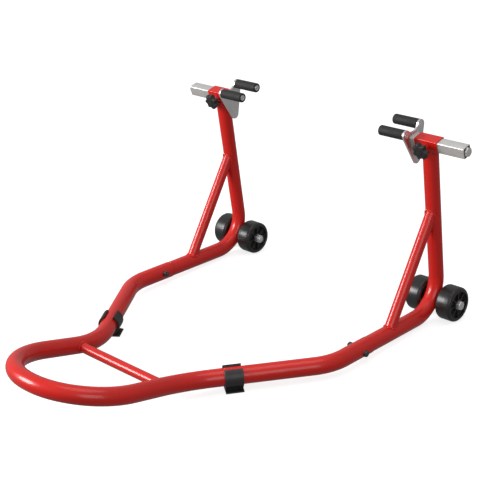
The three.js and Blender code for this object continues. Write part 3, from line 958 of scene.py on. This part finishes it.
# ---- square bar, its end plug and bolt ----
bar_start = PLATE_INNER_X + PLATE_THICKNESS
bar = square_tube(BAR_SIDE, BAR_WALL, BAR_CORNER, bar_start, bar_outer_x, BAR_CHAMFER)
both_sides("bar", moved(bar, at_head), ZINC, "cradle_", "zinc_steel", "square_bar")
PLUG_CLEARANCE = 0.1
PLUG_CORNER = 1.4
PLUG_DEPTH = 9
plug_side = BAR_SIDE - 2 * BAR_WALL - PLUG_CLEARANCE
plug_rings = [
    (plug_side, bar_outer_x - PLUG_DEPTH),
    (plug_side, bar_outer_x + 0.1),
    (plug_side - 0.8, bar_outer_x + 0.5),
    (plug_side - 3.4, bar_outer_x + 0.5),
    (plug_side - 4.0, bar_outer_x + 0.2),
]
plug = loft([ring_at_x(rounded_square(side, PLUG_CORNER), x) for side, x in plug_rings])
both_sides("plug", moved(plug, at_head), PLASTIC, "cradle_", "black_plastic", "bar_end_plug")
bolt_seat = bar_outer_x + 0.6
bolt_dome = bolt_outer_x - bolt_seat
washer_disc = lathe(
    [
        (2, bolt_seat - 0.4),
        (BAR_WASHER_RADIUS, bolt_seat - 0.4),
        (BAR_WASHER_RADIUS, bolt_seat + 0.1),
        (2, bolt_seat + 0.1),
    ],
    closed=False,
)
bar_bolt = merge(washer_disc, hex_head(BAR_BOLT_FLATS, bolt_seat, bolt_dome - DOME_RISE))
both_sides("bar_bolt_head", moved(bar_bolt, at_head), ZINC, "cradle_", "zinc_steel", "bar_bolt")


# ---- cradle plate ----
PLATE_ARC_STEPS = 20


def plate_outline():
    """A rounded triangle, point down, with a hollow between its two upper corners."""
    low = Vector((PLATE_SET, -PLATE_DROP))
    back = Vector((PEG_SPREAD, PEG_RISE))
    front = Vector((-PEG_SPREAD, PEG_RISE))
    fall = PEG_RISE - PLATE_VALLEY
    hollow = (PEG_SPREAD**2 + fall**2 - PLATE_CORNER**2) / (2 * (PLATE_CORNER + fall))
    hollow_centre = Vector((0, PLATE_VALLEY + hollow))
    lean = math.atan2(hollow_centre.y - PEG_RISE, PEG_SPREAD)

    def facing(start, end):
        along = end - start
        return math.atan2(along.x, -along.y) + math.pi

    back_face = facing(low, back)
    front_face = facing(front, low)

    def corner(centre, start, end):
        return arc_points(centre, PLATE_CORNER, start, swing_to(start, end), PLATE_ARC_STEPS)

    outline = corner(low, front_face, back_face)
    outline += corner(back, back_face, math.pi - lean)
    outline += arc_points(hollow_centre, hollow, -lean, -math.pi + lean, PLATE_ARC_STEPS)[1:-1]
    outline += corner(front, lean, front_face)
    return outline


plate = bevelled_prism(plate_outline(), PLATE_INNER_X, bar_start, PLATE_BEVEL)
both_sides("plate", moved(plate, at_head), PLATE, "cradle_", "zinc_steel", "cradle_plate")
bar_weld = [
    at_head(Vector((bar_start - 0.35, y, z)))
    for y, z in rounded_square(BAR_SIDE + 1.2, BAR_CORNER + 0.6, 20)
]
both_sides("bar_weld", weld_bead(bar_weld, BAR_BEAD), ZINC, "cradle_", "zinc_steel")

# ---- pegs ----
peg_tip_x = PLATE_INNER_X - PEG_LENGTH
rubber_end = PLATE_INNER_X - GAP


def peg_rubber():
    outer = PEG_RUBBER_RADIUS
    bore = PEG_CORE_RADIUS + 0.6
    profile = [(bore, peg_tip_x + 1.2), (bore + 0.8, peg_tip_x)]
    round_over = PEG_ROUND_OVER
    for step in range(7):
        angle = step * math.pi / 12
        profile.append((
            outer - round_over * (1 - math.sin(angle)),
            peg_tip_x + round_over * (1 - math.cos(angle)),
        ))
    profile += [(outer, rubber_end - 1.2), (outer - 0.35, rubber_end - 0.35)]
    profile += [(outer - 1.2, rubber_end), (bore, rubber_end)]
    return lathe(profile)


def peg_core():
    """The steel pin: a hexagon socket in its free end, and its riveted end flush in the plate."""
    radius = PEG_CORE_RADIUS + 0.5
    tip = peg_tip_x
    socket = PEG_SOCKET_FLATS
    flush = PLATE_INNER_X + PLATE_THICKNESS
    rings = [
        (hexagon(socket, 2.6), tip + 4),
        (hexagon(socket, 3.0), tip + 0.4),
        (hexagon(socket + 0.6, 3.3), tip),
        (circle(radius - 0.5), tip),
        (circle(radius), tip + 0.5),
        (circle(radius), flush - 0.2),
        (circle(radius - 0.4), flush + 0.25),
        (circle(1.6), flush + 0.3),
        (circle(1.2), flush - 0.8),
    ]
    return loft([ring_at_x(outline, x) for outline, x in rings])


for seat, offset in (("front", -PEG_SPREAD), ("back", PEG_SPREAD)):

    def at_seat(point, offset=offset):
        return at_head(Vector((point.x, point.y + offset, point.z + PEG_RISE)))

    both_sides(
        f"peg_sleeve_{seat}",
        moved(peg_rubber(), at_seat),
        RUBBER,
        "cradle_",
        "black_rubber",
        f"peg_rubber_{seat}",
    )
    both_sides(
        f"peg_pin_{seat}",
        moved(peg_core(), at_seat),
        ZINC,
        "cradle_",
        "zinc_steel",
        f"peg_core_{seat}",
    )


# ---- wheels ----
def wheel_shape():
    """A thick moulded wheel: rounded shoulders, a dished face with ribs, and a hub boss."""
    rim = wheel_radius
    inner = rim - WHEEL_SHOULDER
    hub = HUB_RADIUS
    bore = AXLE_RADIUS + GAP
    dish = DISH_DEPTH
    half = [(bore, 1.4), (bore + 0.5, 0.9), (hub - 0.6, 0.9), (hub, 1.5), (hub + 0.5, dish)]
    half += [(inner - 3.4, dish), (inner - 2.4, dish - 1.0), (inner - 2.0, 0.9)]
    half += [(inner - 1.4, 0.2)]
    for step in range(9):
        angle = step * math.pi / 16
        half.append((
            inner + WHEEL_SHOULDER * math.sin(angle),
            WHEEL_SHOULDER * (1 - math.cos(angle)),
        ))
    other = [(radius, WHEEL_WIDTH - x) for radius, x in reversed(half)]
    body = lathe(half + other, count=72)
    ribs = []
    rib_length = inner - hub - 1.6
    for i in range(WHEEL_RIBS):
        spin = Matrix.Rotation(2 * math.pi * i / WHEEL_RIBS, 3, "X")
        outline = rounded_square(1, 0.25, 3)
        rib = loft([
            [
                Vector((WHEEL_WIDTH / 2 + y * depth, z * RIB_WIDTH, height))
                for y, z in outline
            ]
            for height, depth in (
                (hub - 0.5, WHEEL_WIDTH - 2.4),
                (hub + rib_length / 2, WHEEL_WIDTH - 4.0),
                (hub + rib_length, WHEEL_WIDTH - 2.2),
            )
        ])
        ribs.append(moved(rib, lambda point, spin=spin: spin @ point))
    return merge(body, *ribs)


for place, start in (("outer", WHEEL_INSET), ("inner", -WHEEL_INSET - WHEEL_WIDTH)):

    def at_wheel(point, start=start):
        return at_axle(Vector((point.x + start, point.y, point.z)))

    both_sides(
        f"wheel_tyre_{place}",
        moved(wheel_shape(), at_wheel),
        WHEEL_PLASTIC,
        f"wheel_{place}_",
        "black_plastic",
        f"wheel_{place}",
    )

# ---- axle bush, bolt, nut and washers ----
bush_half = WHEEL_INSET - 2 * GAP - WASHER_THICKNESS
bush = lathe([
    (AXLE_RADIUS + GAP, -bush_half),
    (BUSH_RADIUS - BUSH_EASE, -bush_half),
    (BUSH_RADIUS, -bush_half + BUSH_EASE),
    (BUSH_RADIUS, bush_half - BUSH_EASE),
    (BUSH_RADIUS - BUSH_EASE, bush_half),
    (AXLE_RADIUS + GAP, bush_half),
])
both_sides("bush", moved(bush, at_axle), RED, "frame", "red_powder_coat", "axle_bush")

hub_face = WHEEL_INSET + WHEEL_WIDTH - 0.7
axle_shank = lathe(
    [
        (0.3, -hub_face - AXLE_NUT - 1.6),
        (AXLE_RADIUS - 0.9, -hub_face - AXLE_NUT - 1.6),
        (AXLE_RADIUS - 0.1, -hub_face - AXLE_NUT - 0.8),
        (AXLE_RADIUS - 0.1, hub_face + 0.5),
        (0.3, hub_face + 0.5),
    ],
    closed=False,
    count=32,
)
axle_bolt = merge(axle_shank, hex_head(AXLE_FLATS, hub_face, AXLE_HEAD))
both_sides("axle_bolt_skin", moved(axle_bolt, at_axle), ZINC, "frame", "zinc_steel", "axle_bolt")
axle_nut = hex_head(AXLE_FLATS, -hub_face, AXLE_NUT, sign=-1, bore=AXLE_RADIUS)
both_sides("axle_nut_skin", moved(axle_nut, at_axle), ZINC, "frame", "zinc_steel", "axle_nut")
for place, start in (
    ("outer", bush_half + GAP),
    ("inner", -bush_half - GAP - WASHER_THICKNESS),
):
    washer = lathe([
        (AXLE_RADIUS + GAP, start),
        (WASHER_RADIUS - 0.2, start),
        (WASHER_RADIUS, start + 0.25),
        (WASHER_RADIUS, start + WASHER_THICKNESS - 0.25),
        (WASHER_RADIUS - 0.2, start + WASHER_THICKNESS),
        (AXLE_RADIUS + GAP, start + WASHER_THICKNESS),
    ])
    both_sides(
        f"washer_disc_{place}",
        moved(washer, at_axle),
        ZINC,
        "frame",
        "zinc_steel",
        f"washer_{place}",
    )

# ---- joint bolts ----
joint = on_lower_run(JOINT_BOLT_Y)
joint_reach = LOOP_RADIUS + 0.2


def at_joint(point):
    """The bolt leans: its head on the outer side sits lower than its nut."""
    return joint + Matrix.Rotation(JOINT_LEAN, 3, "Y") @ point


joint_seat = joint_reach + 0.3
joint_washer = lathe(
    [
        (1, joint_reach - 1.2),
        (JOINT_WASHER_RADIUS, joint_reach - 1.2),
        (JOINT_WASHER_RADIUS, joint_seat),
        (1, joint_seat),
    ],
    closed=False,
    count=32,
)
joint_bolt = moved(merge(joint_washer, hex_head(JOINT_FLATS, joint_seat, JOINT_HEAD)), at_joint)
both_sides("joint_bolt_head", joint_bolt, STEEL, "frame", "black_steel", "joint_bolt")
joint_tail = lathe(
    [
        (0.3, -joint_reach - JOINT_TAIL),
        (JOINT_TAIL_RADIUS - 0.5, -joint_reach - JOINT_TAIL),
        (JOINT_TAIL_RADIUS, -joint_reach - JOINT_TAIL + 0.6),
        (JOINT_TAIL_RADIUS, 0),
        (0.3, 0),
    ],
    closed=False,
    count=24,
)
joint_nut_head = hex_head(JOINT_FLATS, -joint_reach, JOINT_NUT, sign=-1)
joint_nut = moved(merge(joint_tail, joint_nut_head), at_joint)
both_sides("joint_nut_skin", joint_nut, STEEL, "frame", "black_steel", "joint_nut")

# ---- clip feet ----
clip_centre = along_line(INNER_CORNER, FLARE_CORNER, CLIP_STATION)


def clip_outline():
    """Looking along the tube: a ring open at the top, with a wide flat foot under it."""
    bore = LOOP_RADIUS + 0.1
    outer = bore + CLIP_WALL
    opening = math.radians(CLIP_OPENING)
    neck_right = -math.radians(CLIP_NECK_ANGLE)
    neck_left = -math.radians(180 - CLIP_NECK_ANGLE)
    foot = CLIP_FOOT_HALF
    ease = CLIP_FOOT_EASE
    floor = -clip_centre.z
    foot_top = floor + CLIP_FOOT_THICKNESS
    tip = (bore + outer) / 2
    tip_centre = (tip * math.cos(opening), tip * math.sin(opening))
    tip_far = (-tip_centre[0], tip_centre[1])
    turn = math.pi - opening
    outline = arc_points((0, 0), outer, neck_right, opening, 26)
    outline += arc_points(tip_centre, CLIP_WALL / 2, opening, opening + math.pi, 8)[1:-1]
    outline += arc_points((0, 0), bore, opening, -math.pi - opening, 44)
    outline += arc_points(tip_far, CLIP_WALL / 2, turn + math.pi, turn, 8)[1:-1]
    outline += arc_points((0, 0), outer, -math.pi - opening, neck_left, 26)
    outline += [(-CLIP_NECK_HALF, -CLIP_NECK_DROP), (-foot + ease, foot_top)]
    outline += [(-foot, foot_top - ease), (-foot, floor), (foot, floor), (foot, foot_top - ease)]
    outline += [(foot - ease, foot_top), (CLIP_NECK_HALF, -CLIP_NECK_DROP)]
    return outline


def clip_shape():
    return bevelled_prism(clip_outline(), -CLIP_LENGTH / 2, CLIP_LENGTH / 2, CLIP_BEVEL)


flare_direction = (FLARE_CORNER - INNER_CORNER).normalized()
clip_outward = flare_direction.cross(Vector((0, 0, 1))).normalized()
clip_up = clip_outward.cross(flare_direction)


def at_clip(point):
    placed = clip_centre + flare_direction * -point.x + clip_outward * point.y + clip_up * point.z
    placed.z = max(placed.z, 0)
    return placed


# Known fault: at_clip keeps the handedness, so this flip turns the clip
# inside out.
clip = flipped(moved(clip_shape(), at_clip))
both_sides("clip", clip, PLASTIC, "frame", "black_plastic", "foot_clip")

# ---- CAD nodes that stay get the detailed materials ----
record_slots = {row["node"]: row["material_slot"] for row in frame["record"]["subparts"]}
for name, node in frame["nodes"].items():
    node.data.materials.clear()
    node.data.materials.append(SLOT_LOOKS[record_slots[name]])


# ---- floor and light, in metres ----
FLOOR_HALF = 9.0
FLOOR_SINK = 0.0005
FLOOR_GLOW = 0.78
SKY_LOW, SKY_HIGH = 0.35, 0.95  # where the sky starts and stops getting brighter
DIFFUSE_SKY = (0.11, 0.47)
GLOSSY_SKY = (0.27, 0.56)
STAND_MIDDLE = (0, 0.1, 0.15)


def add_floor():
    mesh = bpy.data.meshes.new("floor")
    half = FLOOR_HALF
    corners = [(-half, -half, 0), (half, -half, 0), (half, half, 0), (-half, half, 0)]
    mesh.from_pydata(corners, [], [(0, 1, 2, 3)])
    look = Look("floor", (0.5, 0.5, 0.5), 0.8)
    look.shader.inputs["Emission Color"].default_value = (1, 1, 1, 1)
    look.shader.inputs["Emission Strength"].default_value = FLOOR_GLOW
    mesh.materials.append(look.material)
    floor = bpy.data.objects.new("floor", mesh)
    floor.location.z = -FLOOR_SINK
    bpy.context.scene.collection.objects.link(floor)
    floor.visible_glossy = False
    floor.visible_diffuse = False


def add_area(name, place, target, size, power):
    data = bpy.data.lights.new(name, "AREA")
    data.shape = "DISK"
    data.size = size
    data.energy = power
    light = bpy.data.objects.new(name, data)
    light.location = place
    aim = Vector(target) - Vector(place)
    light.rotation_mode = "QUATERNION"
    light.rotation_quaternion = aim.to_track_quat("-Z", "Y")
    bpy.context.scene.collection.objects.link(light)


def add_world():
    """White to the camera; to the rest a sky that brightens upwards, dimmest in diffuse light."""
    world = bpy.data.worlds.new("studio")
    bpy.context.scene.world = world
    world.use_nodes = True
    nodes = world.node_tree.nodes
    links = world.node_tree.links
    split = nodes.new("ShaderNodeSeparateXYZ")
    height = nodes.new("ShaderNodeMapRange")
    height.inputs["From Min"].default_value = -1
    height.inputs["From Max"].default_value = 1
    path = nodes.new("ShaderNodeLightPath")
    links.new(nodes.new("ShaderNodeTexCoord").outputs["Generated"], split.inputs["Vector"])
    links.new(split.outputs["Z"], height.inputs["Value"])

    def gradient(below, above):
        ramp = nodes.new("ShaderNodeValToRGB")
        low, high = ramp.color_ramp.elements
        low.position = SKY_LOW
        low.color = (below, below, below, 1)
        high.position = SKY_HIGH
        high.color = (above, above, above, 1)
        links.new(height.outputs["Result"], ramp.inputs["Fac"])
        background = nodes.new("ShaderNodeBackground")
        links.new(ramp.outputs["Color"], background.inputs["Color"])
        return background

    def choose(ray, otherwise, chosen):
        mix = nodes.new("ShaderNodeMixShader")
        links.new(path.outputs[ray], mix.inputs["Fac"])
        links.new(otherwise.outputs[0], mix.inputs[1])
        links.new(chosen.outputs[0], mix.inputs[2])
        return mix

    lit = choose("Is Glossy Ray", gradient(*DIFFUSE_SKY), gradient(*GLOSSY_SKY))
    white = nodes["Background"]
    white.inputs["Color"].default_value = (1, 1, 1, 1)
    seen = choose("Is Camera Ray", lit, white)
    links.new(seen.outputs["Shader"], nodes["World Output"].inputs["Surface"])


add_floor()
add_world()
add_area("key", (-2.1, -2.3, 1.5), STAND_MIDDLE, 1.5, 112)
add_area("top", (0.2, 0.1, 2.6), STAND_MIDDLE, 1.8, 12)
add_area("fill", (2.4, -1.4, 1.2), STAND_MIDDLE, 1.8, 18)
bpy.context.scene.view_settings.view_transform = "Standard"
